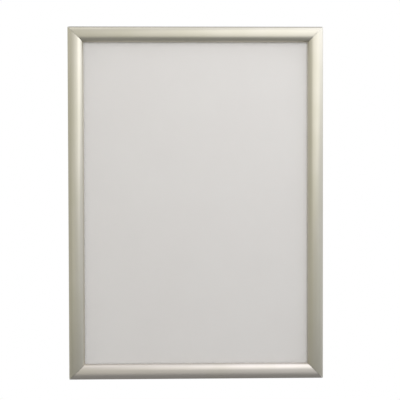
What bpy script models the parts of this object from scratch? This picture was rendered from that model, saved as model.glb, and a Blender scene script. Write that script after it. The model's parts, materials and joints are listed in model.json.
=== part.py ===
"""A silver snap frame for an A3 poster.

Four mitred base rails, locked at the corners by keys and grub screws, carry four arched lids. Each lid
turns on a bead along its rail's outer edge, and two bowed leaf springs snap it open or shut. The poster
insert and its cover sheet lie on the rails' ledges, in front of a panel that slides in their grooves.

The frame stands upright: +X is to the right, +Z is up and its front faces -Y. The wall is the plane y = 0,
and the origin is the centre of the frame on the wall. The sections of the rails are drawn as (u, w): u runs
inwards from the frame's outer edge, and w forwards from the wall.
"""

import math

import bmesh
import bpy
from mathutils import Matrix, Vector

MM = 0.001

# Poster, cover sheet and backing panel
POSTER_WIDTH = 297 * MM
POSTER_HEIGHT = 420 * MM
POSTER_PLAY = 0.2 * MM
INSERT_THICKNESS = 0.2 * MM
COVER_THICKNESS = 0.5 * MM
SHEET_GAP = 0.15 * MM
PANEL_THICKNESS = 1.5 * MM
PANEL_PLAY = 0.3 * MM
PANEL_EDGE_PLAY = 1.0 * MM

# Outline of the profile, seen from the end of a rail
PROFILE_WIDTH = 20 * MM
PROFILE_DEPTH = 10.5 * MM
LID_THICKNESS = 1.1 * MM
FOOT_WIDTH = 0.2 * MM
FOOT_THICKNESS = 1.8 * MM
FOOT_LIP = 1.0 * MM
CROWN_SHARE = 0.626

# Hinge of bead and hook
BEAD_RADIUS = 1.2 * MM
HINGE_PLAY = 0.15 * MM
HOOK_WALL = 0.75 * MM
HOOK_WALL_GAP = 0.7 * MM
NECK_THICKNESS = 0.6 * MM
NECK_PLAY = 0.19 * MM
NECK_ANGLE = math.radians(-45)
OPEN_ANGLE = math.radians(90)

# Lever under the lid, which the springs push on
LEVER_THICKNESS = 0.6 * MM
LEVER_LIP_WIDTH = 0.35 * MM
LEVER_LIP_HEIGHT = 0.4 * MM
LEVER_PLAY = 0.25 * MM
LEVER_SEAT_PLAY = 0.25 * MM

# Base rail
FLOOR_THICKNESS = 1.0 * MM
BASE_SETBACK = 2.0 * MM
LIP_THICKNESS = 0.5 * MM
LIP_REACH = 0.6 * MM
WEB_THICKNESS = 0.8 * MM
LEDGE_THICKNESS = 0.8 * MM
HEAD_RISE = 0.7 * MM
SLOT_DEPTH = 0.5 * MM
SLOT_HEIGHT = 0.8 * MM
SLOT_DROP = 0.5 * MM
MITRE_GAP = 0.2 * MM

# Corner key and its grub screws
KEY_WIDTH = 4.4 * MM
KEY_THICKNESS = 1.5 * MM
KEY_ARM = 45 * MM
KEY_PLAY = 0.3 * MM
KEY_CHAMFER = 0.8 * MM
GRUB_RADIUS = 1.5 * MM
GRUB_LENGTH = 1.5 * MM
GRUB_PLAY = 0.15 * MM
GRUB_GAP = 0.15 * MM
GRUB_POINT = 0.3 * MM
GRUB_FROM_TIP = 10 * MM
TURNING_WELD = 0.0001 * MM
HEX_ACROSS_FLATS = 1.5 * MM
HEX_DEPTH = 0.8 * MM

# Leaf springs
SPRING_WIDTH = 18 * MM
SPRING_THICKNESS = 0.4 * MM
SPRING_GAP = 0.15 * MM
SPRING_FOOT = 0.7 * MM
SPRING_BOW = math.radians(75)
SPRING_PLACE_SHARE = 0.25

# Fixing holes, for countersunk wall screws
FIXING_RADIUS = 1.6 * MM
COUNTERSINK_DEPTH = 0.8 * MM
SCREW_HEAD_RADIUS = 3.0 * MM
SCREW_HEAD_BITE = 0.15 * MM

# One overrun serves every cutter
OVERRUN = 1.0 * MM

# Numbers of straight steps in the round stretches
ARCH_STEPS = 28
RING_STEPS = 20
SPRING_STEPS = 14
HOLE_STEPS = 24
GRUB_STEPS = 16

# Hinge axis and hook, worked out from the sizes above
HOOK_INNER = BEAD_RADIUS + HINGE_PLAY
HOOK_OUTER = HOOK_INNER + HOOK_WALL
PIVOT = Vector((HOOK_OUTER, HOOK_WALL_GAP + HOOK_OUTER))
NECK_HALF_ANGLE = math.asin(NECK_THICKNESS / 2 / BEAD_RADIUS)
HOOK_HALF_GAP = math.asin((NECK_THICKNESS / 2 + NECK_PLAY) / HOOK_INNER)
HOOK_START = NECK_ANGLE + HOOK_HALF_GAP
HOOK_END = NECK_ANGLE + 2 * math.pi - HOOK_HALF_GAP - OPEN_ANGLE

# Reach of the lever from the hinge axis: past the hook, with room for the springs' ends and its lip
LEVER_REACH = HOOK_OUTER + SPRING_THICKNESS + LEVER_SEAT_PLAY + LEVER_LIP_WIDTH

# Places across the rail, from its outer edge
CHANNEL_LIP_OUT = PIVOT.x + math.hypot(LEVER_REACH, LEVER_THICKNESS) + LEVER_PLAY
CHANNEL_IN = CHANNEL_LIP_OUT + LIP_THICKNESS
CHANNEL_END = CHANNEL_IN + KEY_WIDTH + 2 * KEY_PLAY
WEB_END = CHANNEL_END + WEB_THICKNESS
POSTER_EDGE = WEB_END + POSTER_PLAY
PANEL_EDGE = WEB_END + PANEL_EDGE_PLAY
BASE_EDGE = PROFILE_WIDTH - BASE_SETBACK
ARCH_END = PROFILE_WIDTH - FOOT_WIDTH
FOOT_START = PROFILE_WIDTH - FOOT_LIP
CROWN = ARCH_END * CROWN_SHARE

# Heights from the wall
CHANNEL_TOP = FLOOR_THICKNESS + KEY_THICKNESS + 2 * KEY_PLAY
LIP_TOP = CHANNEL_TOP + LIP_THICKNESS
GROOVE_TOP = FLOOR_THICKNESS + PANEL_THICKNESS + 2 * PANEL_PLAY
LEDGE_TOP = GROOVE_TOP + LEDGE_THICKNESS
INSERT_BACK = LEDGE_TOP + SHEET_GAP
COVER_BACK = INSERT_BACK + INSERT_THICKNESS + SHEET_GAP
COVER_FRONT = COVER_BACK + COVER_THICKNESS
FOOT_BACK = COVER_FRONT + SHEET_GAP
FOOT_FRONT = FOOT_BACK + FOOT_THICKNESS
HEAD_TOP = COVER_FRONT + HEAD_RISE
SLOT_TOP = HEAD_TOP - SLOT_DROP
SLOT_BOTTOM = SLOT_TOP - SLOT_HEIGHT

# The frame round the poster
FRAME_WIDTH = POSTER_WIDTH + 2 * POSTER_EDGE
FRAME_HEIGHT = POSTER_HEIGHT + 2 * POSTER_EDGE

SIDES = ("bottom", "left", "top", "right")
CORNERS = ("bottom_left", "top_left", "top_right", "bottom_right")
QUARTER = math.radians(90)


def new_collection(name):
    collection = bpy.data.collections.new(name)
    bpy.context.scene.collection.children.link(collection)
    return collection


def principled(name, color, metallic, roughness, alpha=1.0):
    material = bpy.data.materials.new(name)
    material.use_nodes = True
    shader = material.node_tree.nodes["Principled BSDF"]
    shader.inputs["Base Color"].default_value = (*color, 1.0)
    shader.inputs["Metallic"].default_value = metallic
    shader.inputs["Roughness"].default_value = roughness
    shader.inputs["Alpha"].default_value = alpha
    material.diffuse_color = (*color, alpha)
    return material


def add_object(name, data, collection, parent=None, location=(0, 0, 0), material=None):
    thing = bpy.data.objects.new(name, data)
    collection.objects.link(thing)
    thing.parent = parent
    thing.location = location
    if material and not data.materials:
        data.materials.append(material)
    return thing


def mesh_from(bm, name, smooth=True):
    """Turn a bmesh into a mesh, with round stretches smooth and corners sharp."""
    bmesh.ops.recalc_face_normals(bm, faces=bm.faces[:])
    mesh = bpy.data.meshes.new(name)
    bm.to_mesh(mesh)
    bm.free()
    if smooth:
        mesh.shade_smooth()
        mesh.set_sharp_from_angle(angle=math.radians(25))
    return mesh


def arc(center, radius, start, end, steps):
    """Points on an arc from one angle to the other, both ends included."""
    angles = [start + (end - start) * step / steps for step in range(steps + 1)]
    return [center + radius * Vector((math.cos(a), math.sin(a))) for a in angles]


def ellipse_arc(center, half_width, half_height, start, end, steps):
    angles = [start + (end - start) * step / steps for step in range(steps + 1)]
    return [center + Vector((half_width * math.cos(a), half_height * math.sin(a))) for a in angles]


def extruded(outline, start, end):
    """A solid with the outline (u, w) as its section and its length along x."""
    bm = bmesh.new()
    corners = [bm.verts.new((start, point.x, point.y)) for point in outline]
    face = bm.faces.new(corners)
    swept = bmesh.ops.extrude_face_region(bm, geom=[face])["geom"]
    moved = [item for item in swept if isinstance(item, bmesh.types.BMVert)]
    bmesh.ops.translate(bm, verts=moved, vec=(end - start, 0, 0))
    return bm


def slice_off(bm, point, normal):
    """Remove what lies beyond a plane and close the cut."""
    geometry = bm.verts[:] + bm.edges[:] + bm.faces[:]
    cut = bmesh.ops.bisect_plane(bm, geom=geometry, plane_co=point, plane_no=normal, clear_outer=True)
    rim = [item for item in cut["geom_cut"] if isinstance(item, bmesh.types.BMEdge)]
    bmesh.ops.contextual_create(bm, geom=[edge for edge in rim if edge.is_boundary])


def turned(name, profile, steps, collection):
    """A turned solid round z: the profile (radius, height) runs from its top to its bottom."""
    bm = bmesh.new()
    points = [bm.verts.new((radius, 0, height)) for radius, height in profile]
    for first, second in zip(points, points[1:]):
        bm.edges.new((first, second))
    mesh = bpy.data.meshes.new(name)
    bm.to_mesh(mesh)
    bm.free()
    thing = add_object(name, mesh, collection)
    screw = thing.modifiers.new("Turn", "SCREW")
    screw.steps = steps
    screw.render_steps = steps
    screw.use_merge_vertices = True
    screw.merge_threshold = TURNING_WELD
    return thing


def as_cutter(thing):
    thing.hide_render = True
    thing.display_type = "WIRE"
    return thing


def cut_with(thing, cutter):
    boolean = thing.modifiers.new("Cut", "BOOLEAN")
    boolean.operation = "DIFFERENCE"
    boolean.solver = "EXACT"
    boolean.object = cutter


def base_section():
    """Section of a base rail: bead, neck, floor, key channel, spring seat, ledge and panel groove."""
    along = Vector((math.cos(NECK_ANGLE), math.sin(NECK_ANGLE)))
    across = Vector((-along.y, along.x)) * NECK_THICKNESS / 2
    bead_start = NECK_ANGLE + NECK_HALF_ANGLE
    bead_end = NECK_ANGLE + 2 * math.pi - NECK_HALF_ANGLE
    neck_front = PIVOT + across
    neck_back = PIVOT - across
    front_foot = neck_front + along * (FLOOR_THICKNESS - neck_front.y) / along.y
    back_foot = neck_back - along * neck_back.y / along.y
    head_out = CHANNEL_END - LIP_REACH
    outline = arc(PIVOT, BEAD_RADIUS, bead_start, bead_end, RING_STEPS)
    outline += [
        back_foot,
        Vector((BASE_EDGE, 0)),
        Vector((BASE_EDGE, FLOOR_THICKNESS)),
        Vector((WEB_END, FLOOR_THICKNESS)),
        Vector((WEB_END, GROOVE_TOP)),
        Vector((BASE_EDGE, GROOVE_TOP)),
        Vector((BASE_EDGE, LEDGE_TOP)),
        Vector((WEB_END, LEDGE_TOP)),
        Vector((WEB_END, HEAD_TOP)),
        Vector((head_out, HEAD_TOP)),
        Vector((head_out, SLOT_TOP)),
        Vector((head_out + SLOT_DEPTH, SLOT_TOP)),
        Vector((head_out + SLOT_DEPTH, SLOT_BOTTOM)),
        Vector((head_out, SLOT_BOTTOM)),
        Vector((head_out, CHANNEL_TOP)),
        Vector((CHANNEL_END, CHANNEL_TOP)),
        Vector((CHANNEL_END, FLOOR_THICKNESS)),
        Vector((CHANNEL_IN, FLOOR_THICKNESS)),
        Vector((CHANNEL_IN, CHANNEL_TOP)),
        Vector((CHANNEL_IN + LIP_REACH, CHANNEL_TOP)),
        Vector((CHANNEL_IN + LIP_REACH, LIP_TOP)),
        Vector((CHANNEL_LIP_OUT, LIP_TOP)),
        Vector((CHANNEL_LIP_OUT, FLOOR_THICKNESS)),
        front_foot,
    ]
    return outline


def lid_section():
    """Section of a lid about its hinge axis: arch of two half ovals, foot, hook round the bead, and lever."""
    center = Vector((CROWN, PIVOT.y))
    height = PROFILE_DEPTH - PIVOT.y
    foot_angle = math.asin((FOOT_FRONT - center.y) / height)
    run = (ARCH_END - CROWN) / math.cos(foot_angle)
    outer = ellipse_arc(center, run, height, foot_angle, QUARTER, ARCH_STEPS)
    outer += ellipse_arc(center, CROWN, height, QUARTER, 2 * QUARTER, ARCH_STEPS)[1:]

    under = height - LID_THICKNESS
    under_run = run - LID_THICKNESS
    under_angle = math.acos((FOOT_START - center.x) / under_run)
    inner = ellipse_arc(center, CROWN - LID_THICKNESS, under, 2 * QUARTER, QUARTER, ARCH_STEPS)
    inner = [point for point in inner if (point - PIVOT).length > HOOK_OUTER]
    inner += ellipse_arc(center, under_run, under, QUARTER, under_angle, ARCH_STEPS)[1:]

    joined = inner[0] - PIVOT
    lever_back = -math.asin(LEVER_THICKNESS / HOOK_OUTER)
    tip = PIVOT.x + LEVER_REACH
    lip = tip - LEVER_LIP_WIDTH
    outline = outer
    outline += arc(PIVOT, HOOK_OUTER, 2 * QUARTER, HOOK_END, RING_STEPS // 5)[1:]
    outline += arc(PIVOT, HOOK_INNER, HOOK_END, HOOK_START, RING_STEPS)
    outline += arc(PIVOT, HOOK_OUTER, HOOK_START, lever_back, 1)
    outline += [
        Vector((tip, PIVOT.y - LEVER_THICKNESS)),
        Vector((tip, PIVOT.y + LEVER_LIP_HEIGHT)),
        Vector((lip, PIVOT.y + LEVER_LIP_HEIGHT)),
        Vector((lip, PIVOT.y)),
    ]
    outline += arc(PIVOT, HOOK_OUTER, 0, math.atan2(joined.y, joined.x), RING_STEPS // 2)
    outline += inner
    outline += [
        Vector((FOOT_START, FOOT_BACK)),
        Vector((PROFILE_WIDTH, FOOT_BACK)),
        Vector((PROFILE_WIDTH, FOOT_FRONT)),
    ]
    return [point - PIVOT for point in outline]


def strip_outline(path, thickness):
    """The outline of a strip of even thickness that follows a path of points."""
    left, right = [], []
    for index, point in enumerate(path):
        before = (point - path[max(index - 1, 0)]).normalized()
        after = (path[min(index + 1, len(path) - 1)] - point).normalized()
        along = (before + after).normalized()
        bend = max(along.dot(before), along.dot(after))
        across = Vector((-along.y, along.x)) * thickness / 2 / bend
        left.append(point + across)
        right.append(point - across)
    return left + right[::-1]


def spring_section():
    """Section of a leaf spring: bowed forwards from the lever, its far end turned into the rail's slot."""
    head_out = CHANNEL_END - LIP_REACH
    seat = Vector((head_out + SLOT_DEPTH - SPRING_GAP, (SLOT_TOP + SLOT_BOTTOM) / 2))
    bend = seat - Vector((SPRING_FOOT, 0))
    lever_room = PIVOT.x + HOOK_OUTER + PIVOT.x + LEVER_REACH - LEVER_LIP_WIDTH
    foot = Vector((lever_room / 2, PIVOT.y + SPRING_GAP))
    chord = (bend - foot).normalized()
    bow = Vector((-chord.y, chord.x))
    radius = (bend - foot).length / 2 / math.sin(SPRING_BOW)
    center = (bend + foot) / 2 - bow * radius * math.cos(SPRING_BOW)
    middle = math.atan2(bow.y, bow.x)
    path = arc(center, radius, middle + SPRING_BOW, middle - SPRING_BOW, SPRING_STEPS)
    return strip_outline(path + [seat], SPRING_THICKNESS)


def fixing_cutter(cutters, side):
    """The tool that drills a base rail's fixing hole and clears room for the screw's head."""
    countersunk = FIXING_RADIUS + COUNTERSINK_DEPTH
    profile = [
        (0, HEAD_TOP + OVERRUN),
        (SCREW_HEAD_RADIUS, HEAD_TOP + OVERRUN),
        (SCREW_HEAD_RADIUS, FLOOR_THICKNESS),
        (countersunk, FLOOR_THICKNESS),
        (FIXING_RADIUS, FLOOR_THICKNESS - COUNTERSINK_DEPTH),
        (FIXING_RADIUS, -OVERRUN),
        (0, -OVERRUN),
    ]
    cutter = turned("fixing_cutter_" + side, profile, HOLE_STEPS, cutters)
    cutter.location = (0, CHANNEL_END + SCREW_HEAD_BITE - SCREW_HEAD_RADIUS, 0)
    return as_cutter(cutter)


def build_side(index, parts, cutters, materials):
    """One side of the frame: its base rail, lid and two springs, on an empty at its outer back edge."""
    side = SIDES[index]
    upright = index % 2 == 1
    length = FRAME_HEIGHT if upright else FRAME_WIDTH
    outwards = (FRAME_WIDTH if upright else FRAME_HEIGHT) / 2
    turn = Matrix.Rotation(index * QUARTER, 4, "Y")
    stand_up = Matrix.Rotation(QUARTER, 4, "X")
    empty = add_object("side_" + side, None, parts)
    empty.matrix_world = turn @ Matrix.Translation((0, 0, -outwards)) @ stand_up

    end = length / 2 - MITRE_GAP
    bm = extruded(base_section(), -length / 2, length / 2)
    slice_off(bm, (end, 0, 0), (1, 1, 0))
    slice_off(bm, (-end, 0, 0), (-1, 1, 0))
    rail = add_object("base_rail_" + side, mesh_from(bm, "base_rail_" + side), parts, empty,
                      material=materials["base"])
    cutter = fixing_cutter(cutters, side)
    cutter.parent = empty
    cut_with(rail, cutter)

    axis_end = end - PIVOT.x
    back_off = (math.cos(OPEN_ANGLE), -math.sin(OPEN_ANGLE))
    bm = extruded(lid_section(), -length / 2, length / 2)
    slice_off(bm, (axis_end, 0, 0), (1, 1, 0))
    slice_off(bm, (-axis_end, 0, 0), (-1, 1, 0))
    slice_off(bm, (axis_end, 0, 0), (1, *back_off))
    slice_off(bm, (-axis_end, 0, 0), (-1, *back_off))
    add_object("snap_lid_" + side, mesh_from(bm, "snap_lid_" + side), parts, empty,
               (0, PIVOT.x, PIVOT.y), materials["lid"])

    bm = extruded(spring_section(), -SPRING_WIDTH / 2, SPRING_WIDTH / 2)
    spring = mesh_from(bm, "leaf_spring_" + side)
    for number, direction in enumerate((-1, 1), start=1):
        place = (direction * length * SPRING_PLACE_SHARE, 0, 0)
        add_object(f"leaf_spring_{side}_{number}", spring, parts, empty, place, materials["steel"])


def key_mesh():
    """The L of a corner key, about the frame's corner, with its grub screws' holes to be cut."""
    near = CHANNEL_IN + KEY_PLAY
    far = near + KEY_WIDTH
    tip = near + KEY_ARM
    outline = [
        (near, near), (tip - KEY_CHAMFER, near), (tip, near + KEY_CHAMFER), (tip, far - KEY_CHAMFER),
        (tip - KEY_CHAMFER, far), (far, far), (far, tip - KEY_CHAMFER), (far - KEY_CHAMFER, tip),
        (near + KEY_CHAMFER, tip), (near, tip - KEY_CHAMFER),
    ]
    bm = bmesh.new()
    face = bm.faces.new([bm.verts.new((x, y, FLOOR_THICKNESS + KEY_PLAY)) for x, y in outline])
    swept = bmesh.ops.extrude_face_region(bm, geom=[face])["geom"]
    moved = [item for item in swept if isinstance(item, bmesh.types.BMVert)]
    bmesh.ops.translate(bm, verts=moved, vec=(0, 0, KEY_THICKNESS))
    return mesh_from(bm, "corner_key", smooth=False)


def grub_mesh(cutters):
    """A grub screw standing on its point at the origin, with a hexagon socket in its front end."""
    profile = [
        (0, GRUB_LENGTH),
        (GRUB_RADIUS, GRUB_LENGTH),
        (GRUB_RADIUS, GRUB_POINT),
        (GRUB_RADIUS - GRUB_POINT, 0),
        (0, 0),
    ]
    blank = turned("grub_blank", profile, GRUB_STEPS, cutters)
    bm = bmesh.new()
    across_corners = HEX_ACROSS_FLATS / math.cos(math.radians(30))
    bmesh.ops.create_cone(bm, cap_ends=True, segments=6, radius1=across_corners / 2,
                          radius2=across_corners / 2, depth=2 * HEX_DEPTH)
    hexagon = add_object("grub_hexagon", mesh_from(bm, "grub_hexagon", smooth=False), cutters,
                         location=(0, 0, GRUB_LENGTH))
    cut_with(blank, as_cutter(hexagon))
    bpy.context.view_layer.update()
    shaped = blank.evaluated_get(bpy.context.evaluated_depsgraph_get())
    mesh = bpy.data.meshes.new_from_object(shaped)
    mesh.name = "grub_screw"
    mesh.shade_smooth()
    mesh.set_sharp_from_angle(angle=math.radians(35))
    bpy.data.objects.remove(blank)
    return mesh


def build_corner(index, parts, cutters, materials, key, grub):
    """One corner key with its two grub screws, on an empty at the frame's corner."""
    corner = CORNERS[index]
    turn = Matrix.Rotation(index * QUARTER, 4, "Y")
    wide, high = (FRAME_WIDTH, FRAME_HEIGHT) if index % 2 == 0 else (FRAME_HEIGHT, FRAME_WIDTH)
    empty = add_object("corner_" + corner, None, parts)
    empty.matrix_world = (turn @ Matrix.Translation((-wide / 2, 0, -high / 2))
                          @ Matrix.Rotation(QUARTER, 4, "X"))
    plate = add_object("corner_key_" + corner, key.copy(), parts, empty, material=materials["steel"])

    middle = CHANNEL_IN + KEY_PLAY + KEY_WIDTH / 2
    along = CHANNEL_IN + KEY_PLAY + KEY_ARM - GRUB_FROM_TIP
    floor = FLOOR_THICKNESS + GRUB_GAP
    for number, (x, y) in enumerate(((along, middle), (middle, along)), start=1):
        add_object(f"grub_screw_{corner}_{number}", grub, parts, empty, (x, y, floor), materials["dark_steel"])
        bm = bmesh.new()
        bmesh.ops.create_cone(bm, cap_ends=True, segments=HOLE_STEPS, radius1=GRUB_RADIUS + GRUB_PLAY,
                              radius2=GRUB_RADIUS + GRUB_PLAY, depth=2 * CHANNEL_TOP)
        name = f"thread_cutter_{corner}_{number}"
        cutter = add_object(name, mesh_from(bm, name), cutters, empty, (x, y, CHANNEL_TOP))
        cut_with(plate, as_cutter(cutter))


def sheet(name, edge, back, thickness, parts, material):
    """A flat sheet inside the frame, with its edge and its back at the given distances."""
    bm = bmesh.new()
    size = Vector((FRAME_WIDTH - 2 * edge, thickness, FRAME_HEIGHT - 2 * edge))
    bmesh.ops.create_cube(bm, size=1, matrix=Matrix.Diagonal((*size, 1)))
    add_object(name, mesh_from(bm, name, smooth=False), parts, None, (0, -back - thickness / 2, 0), material)


def build():
    for thing in list(bpy.data.objects):
        bpy.data.objects.remove(thing)
    parts = new_collection("poster_frame")
    cutters = new_collection("cutters")
    materials = {
        "lid": principled("satin_silver_lid", (0.72, 0.71, 0.66), 1.0, 0.35),
        "base": principled("silver_base", (0.66, 0.66, 0.63), 1.0, 0.42),
        "steel": principled("zinc_steel", (0.55, 0.56, 0.57), 1.0, 0.4),
        "dark_steel": principled("black_steel", (0.05, 0.05, 0.055), 1.0, 0.45),
        "panel": principled("white_styrene", (0.78, 0.78, 0.76), 0.0, 0.6),
        "insert": principled("white_paper", (0.82, 0.82, 0.80), 0.0, 0.8),
        "cover": principled("matte_clear_sheet", (0.85, 0.86, 0.86), 0.0, 0.35, 0.35),
    }
    for index in range(len(SIDES)):
        build_side(index, parts, cutters, materials)
    key = key_mesh()
    grub = grub_mesh(cutters)
    for index in range(len(CORNERS)):
        build_corner(index, parts, cutters, materials, key, grub)
    sheet("backing_panel", PANEL_EDGE, FLOOR_THICKNESS + PANEL_PLAY, PANEL_THICKNESS, parts,
          materials["panel"])
    sheet("poster_insert", POSTER_EDGE, INSERT_BACK, INSERT_THICKNESS, parts, materials["insert"])
    sheet("cover_sheet", POSTER_EDGE, COVER_BACK, COVER_THICKNESS, parts, materials["cover"])
    print(f"frame {FRAME_WIDTH / MM:.2f} x {FRAME_HEIGHT / MM:.2f} x {PROFILE_DEPTH / MM:.2f} mm")


build()
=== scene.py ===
"""A silver snap frame for an A3 poster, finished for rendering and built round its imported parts.

The frame stands upright in metres: +X is to the right, +Z is up and its front faces -Y. The long
pieces are drawn in the plane of their section: u runs inwards from the frame's outer edge and w
forwards from the wall, while x runs along the side.
"""

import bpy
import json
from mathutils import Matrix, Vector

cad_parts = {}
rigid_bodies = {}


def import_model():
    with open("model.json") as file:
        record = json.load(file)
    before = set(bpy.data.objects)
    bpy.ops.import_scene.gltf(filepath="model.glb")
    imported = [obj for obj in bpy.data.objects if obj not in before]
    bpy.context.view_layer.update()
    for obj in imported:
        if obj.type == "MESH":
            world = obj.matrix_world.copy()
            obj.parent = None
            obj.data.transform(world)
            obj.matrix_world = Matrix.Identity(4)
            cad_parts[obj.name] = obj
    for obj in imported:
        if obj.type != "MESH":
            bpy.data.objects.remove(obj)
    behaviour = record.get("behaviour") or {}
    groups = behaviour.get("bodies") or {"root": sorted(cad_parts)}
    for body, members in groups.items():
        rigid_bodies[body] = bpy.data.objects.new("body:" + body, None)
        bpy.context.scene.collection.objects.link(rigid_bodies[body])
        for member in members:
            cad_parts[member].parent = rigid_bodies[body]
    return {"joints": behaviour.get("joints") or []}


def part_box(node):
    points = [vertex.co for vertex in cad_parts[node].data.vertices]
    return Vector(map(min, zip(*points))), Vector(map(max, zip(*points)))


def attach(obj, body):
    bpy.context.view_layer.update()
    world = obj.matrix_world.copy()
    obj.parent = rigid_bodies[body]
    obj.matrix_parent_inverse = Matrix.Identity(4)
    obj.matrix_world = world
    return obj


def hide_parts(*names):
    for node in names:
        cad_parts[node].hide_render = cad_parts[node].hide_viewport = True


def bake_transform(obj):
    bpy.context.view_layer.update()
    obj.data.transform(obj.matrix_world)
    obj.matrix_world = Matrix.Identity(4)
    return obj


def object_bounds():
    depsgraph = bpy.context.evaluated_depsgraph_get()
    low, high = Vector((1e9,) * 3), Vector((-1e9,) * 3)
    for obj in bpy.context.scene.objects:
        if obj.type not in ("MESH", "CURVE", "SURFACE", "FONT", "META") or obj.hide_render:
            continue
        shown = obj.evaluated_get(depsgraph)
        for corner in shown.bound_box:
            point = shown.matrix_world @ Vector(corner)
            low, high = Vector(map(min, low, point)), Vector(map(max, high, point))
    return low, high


bl_info = {
    "name": "Snap Frame",
    "version": (1, 0, 0),
    "blender": (4, 5, 0),
    "location": "3D View > Sidebar > Snap Frame",
    "description": "Builds a silver snap frame with opening lids round its packed parts",
    "category": "Object",
}

import json
import math

import bmesh
import bpy
from bpy.props import FloatProperty, FloatVectorProperty, IntProperty, PointerProperty
from mathutils import Matrix, Vector

for thing in list(bpy.data.objects):
    bpy.data.objects.remove(thing)
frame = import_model()
CAD_LOW, CAD_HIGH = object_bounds()

MM = 0.001
QUARTER = math.radians(90)
SIDES = ("bottom", "left", "top", "right")
CORNERS = ("bottom_left", "top_left", "top_right", "bottom_right")
# Edges above this angle are rounded, and those that stay above it are shaded sharp
SHARP = math.radians(28)
BLACK = (0, 0, 0, 1)
WHITE = (1, 1, 1, 1)
# Brightness of the room by the height of the direction, from straight down to straight up
ROOM_LEVELS = ((-1.0, 0.0), (-0.45, 0.32), (-0.2, 0.15), (0.0, 0.18), (0.2, 0.25), (0.4, 0.35), (0.6, 0.61),
               (0.8, 0.97), (1.0, 1.39))
# Where the room's glows and its shade start and where they are full, along one axis of the direction
LEFT_REACH = (0.0, -1.0)
RIGHT_REACH = (0.0, 1.0)
RAISED_REACH = (0.0, 0.6)
FRONT_REACH = (-0.6, -1.0)
HIGH_REACH = (0.6, 0.8)
BACK_REACH = (-0.1, 0.4)

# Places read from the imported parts, in the plane of the section (u inwards, w forwards)
FRAME_SIZE = CAD_HIGH - CAD_LOW
LID_LOW, LID_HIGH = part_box("snap_lid_bottom")
RAIL_LOW, RAIL_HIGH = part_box("base_rail_bottom")
KEY_LOW, KEY_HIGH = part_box("corner_key_bottom_left")
GRUB_LOW, GRUB_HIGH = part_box("grub_screw_bottom_left_1")
SPRING_LOW, SPRING_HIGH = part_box("leaf_spring_bottom_1")
HINGE = next(Vector(j["pos_m"]) for j in frame["joints"] if j["name"] == "bottom_lid_hinge")
PIVOT = Vector((HINGE.z - CAD_LOW.z, -HINGE.y))
LID_EDGE = LID_HIGH.z - CAD_LOW.z
LID_FRONT = -LID_LOW.y
RAIL_EDGE = RAIL_HIGH.z - CAD_LOW.z
RAIL_FRONT = -RAIL_LOW.y
INSERT_BACK = -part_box("poster_insert")[1].y
COVER_FRONT = -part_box("cover_sheet")[0].y
KEY_EDGE = KEY_LOW.z - CAD_LOW.z
KEY_BACK = -KEY_HIGH.y
KEY_FRONT = -KEY_LOW.y


def length_prop(name, description, default):
    return FloatProperty(name=name, description=description, default=default, unit="LENGTH")


def angle_prop(name, description, degrees):
    return FloatProperty(name=name, description=description, default=math.radians(degrees), subtype="ANGLE")


def number_prop(name, description, default):
    return FloatProperty(name=name, description=description, default=default)


def count_prop(name, description, default):
    return IntProperty(name=name, description=description, default=default)


def color_prop(name, description, default):
    return FloatVectorProperty(name=name, description=description, default=default, subtype="COLOR")


def place_prop(name, description, default):
    return FloatVectorProperty(name=name, description=description, default=default, subtype="TRANSLATION",
                               unit="LENGTH")


class LidSizes(bpy.types.PropertyGroup):
    wall: length_prop("Wall", "Thickness of the arch", 1.1 * MM)
    crown: number_prop("Crown", "Share of the arch's run that lies outside its crown", 0.626)
    foot_width: length_prop("Foot Width", "Flat lip along the inner edge", 0.2 * MM)
    foot_thickness: length_prop("Foot Thickness", "Height of the inner edge", 1.8 * MM)
    foot_lip: length_prop("Foot Lip", "Lip that holds down the cover sheet", 1.0 * MM)
    foot_gap: length_prop("Foot Gap", "From the inner lip to the cover sheet", 0.15 * MM)
    hook_wall: length_prop("Hook Wall", "Thickness of the hook round the bead", 0.75 * MM)
    hook_start: angle_prop("Hook Start", "Angle of the hook's inner end", -23.7)
    hook_end: angle_prop("Hook End", "Angle of the hook's outer end", 203.7)
    lever_reach: length_prop("Lever Reach", "From the hinge axis to the lever's tip", 3.1 * MM)
    lever_thickness: length_prop("Lever Thickness", "Thickness of the lever", 0.6 * MM)
    lip_width: length_prop("Lip Width", "Width of the lip on the lever's tip", 0.35 * MM)
    lip_height: length_prop("Lip Height", "Height of the lip on the lever's tip", 0.4 * MM)
    rounding: length_prop("Rounding", "Deburred edges of the lid", 0.1 * MM)
    mitre_gap: length_prop("Mitre Gap", "Taken off each end at the mitre", 0.2 * MM)
    steps: count_prop("Steps", "Steps in each half of the arch", 40)
    end_steps: count_prop("End Steps", "Steps round the hook's outer end", 3)


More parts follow.
